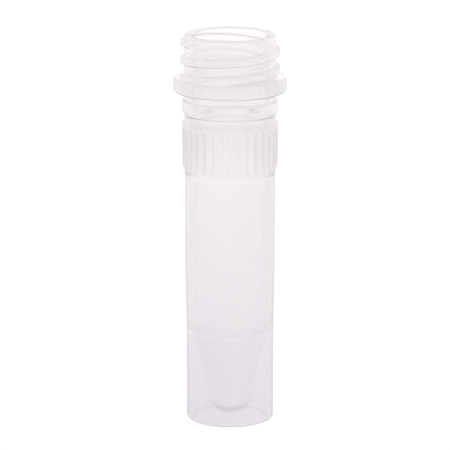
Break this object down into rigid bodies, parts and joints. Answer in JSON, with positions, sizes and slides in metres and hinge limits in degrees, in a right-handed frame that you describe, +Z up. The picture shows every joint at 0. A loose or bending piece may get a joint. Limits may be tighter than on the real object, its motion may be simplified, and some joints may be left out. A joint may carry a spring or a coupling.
{
  "type": "microcentrifuge tube",
  "caption": "Open screw-cap micro tube: threaded neck, round collar, cap-tether bead, ribbed grip band, and a conical bottom inside a self-standing skirt.",
  "frame": {"origin": "centre of the circle that the skirt's foot stands on", "axes": "+Z up along the tube's axis, out of the open mouth; -Y is the front, and the thread's upper end is 54 degrees round from it towards -X"},
  "size_m": [0.013, 0.013, 0.045],
  "materials": {
    "natural_polypropylene": "gloss"
  },
  "bodies": {
    "root": {"threaded_neck": "natural_polypropylene", "collar": "natural_polypropylene", "retaining_bead": "natural_polypropylene", "grip_band": "natural_polypropylene", "barrel": "natural_polypropylene", "conical_tip": "natural_polypropylene", "skirt": "natural_polypropylene"}
  },
  "joints": []
}
